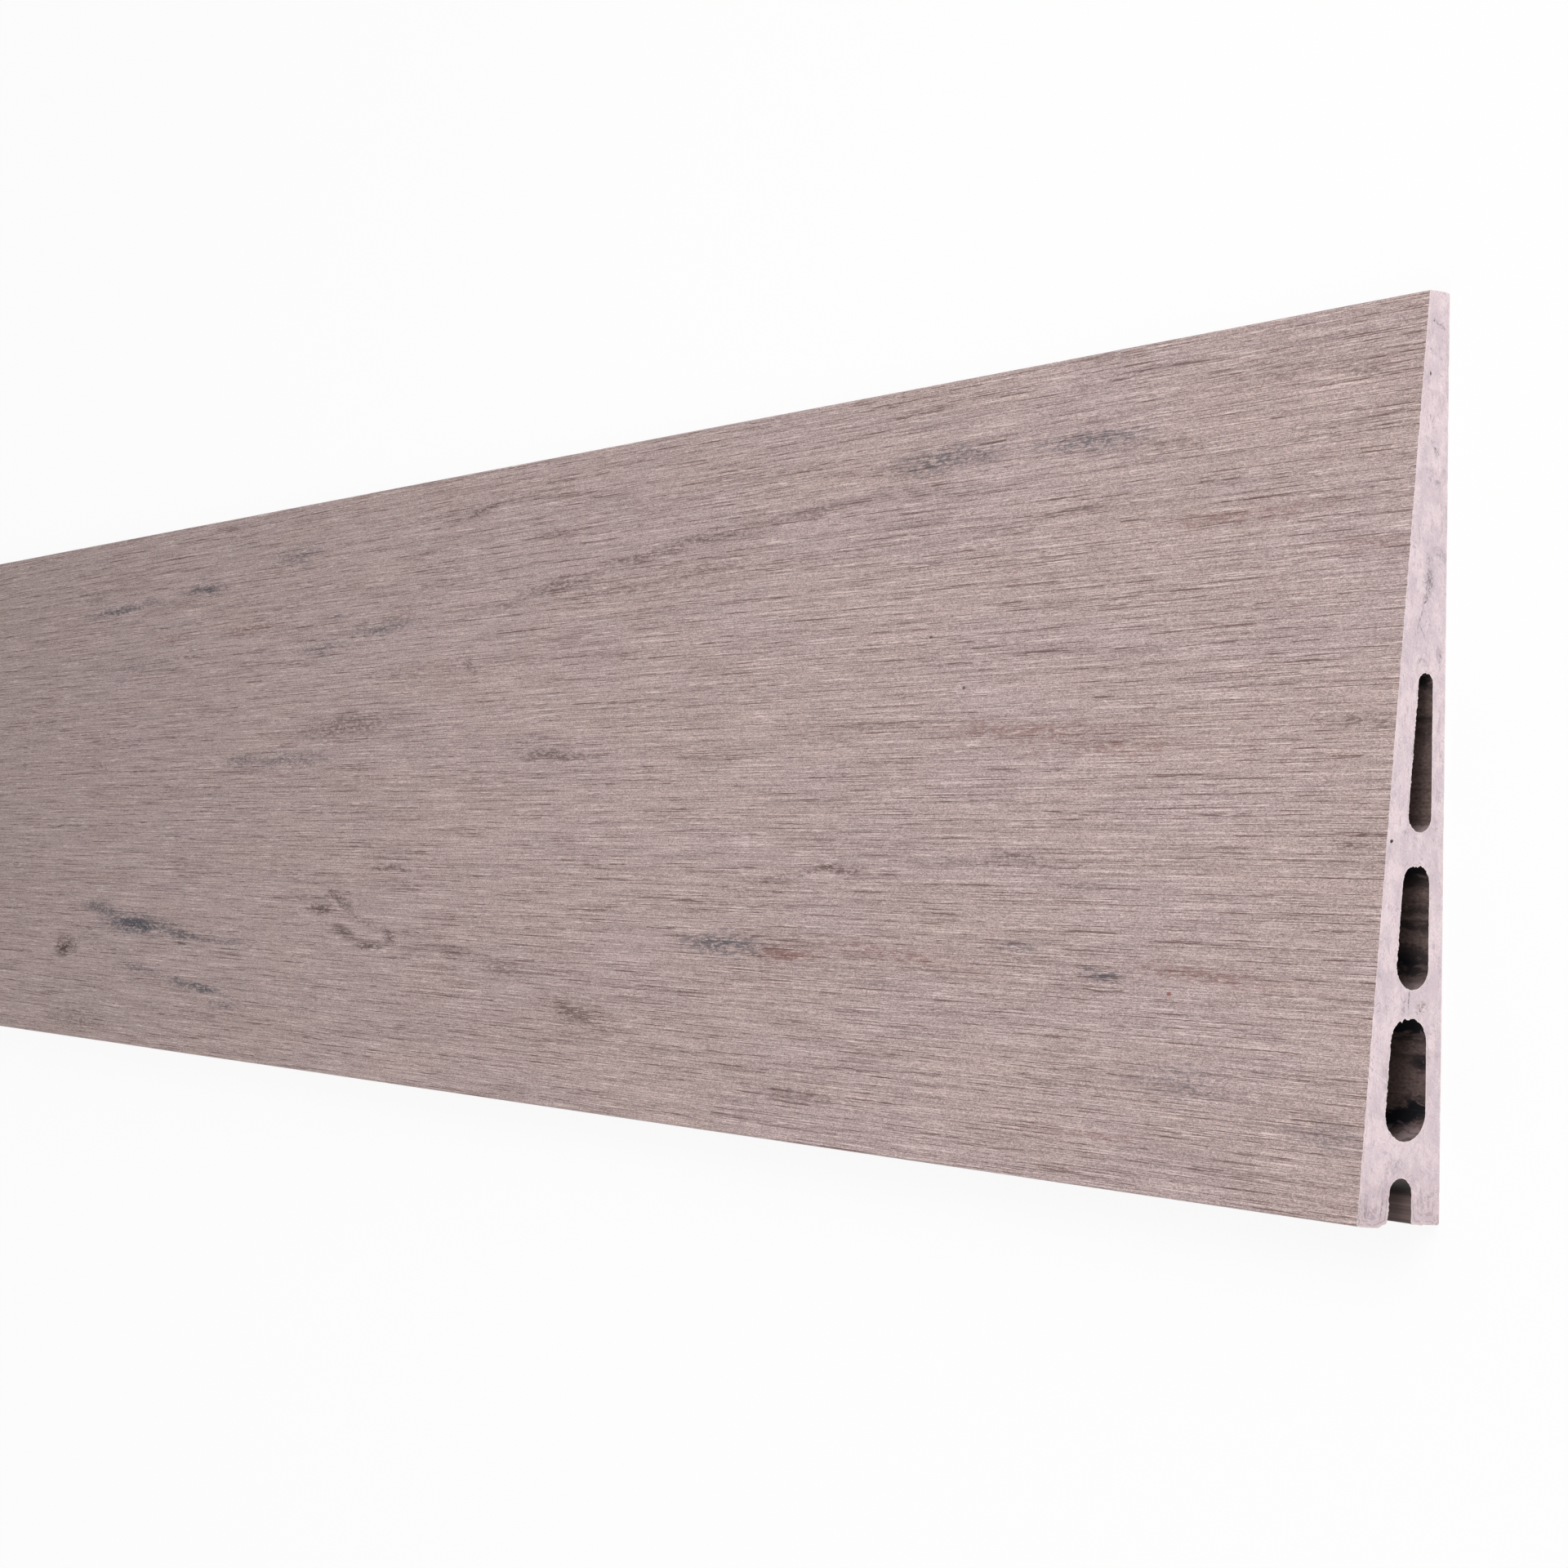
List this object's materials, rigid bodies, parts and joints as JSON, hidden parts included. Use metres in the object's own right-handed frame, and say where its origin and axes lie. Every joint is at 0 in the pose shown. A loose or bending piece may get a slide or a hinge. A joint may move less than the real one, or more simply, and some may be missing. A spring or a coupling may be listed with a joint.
{
  "type": "composite fence board",
  "caption": "Tapered hollow wood-plastic fence board: flat back, sloping brushed front, chambers along its length, and a groove in the thick edge for the next board's thin edge.",
  "frame": {"origin": "on the flat back face, under the middle of the board", "axes": "+X along the board's length, +Y from the thick grooved edge to the thin edge, +Z out of the back face towards the sloping front face"},
  "size_m": [1.8, 0.16, 0.0199],
  "materials": {
    "composite": "matte"
  },
  "bodies": {
    "root": {"fence_board": "composite"}
  },
  "joints": []
}
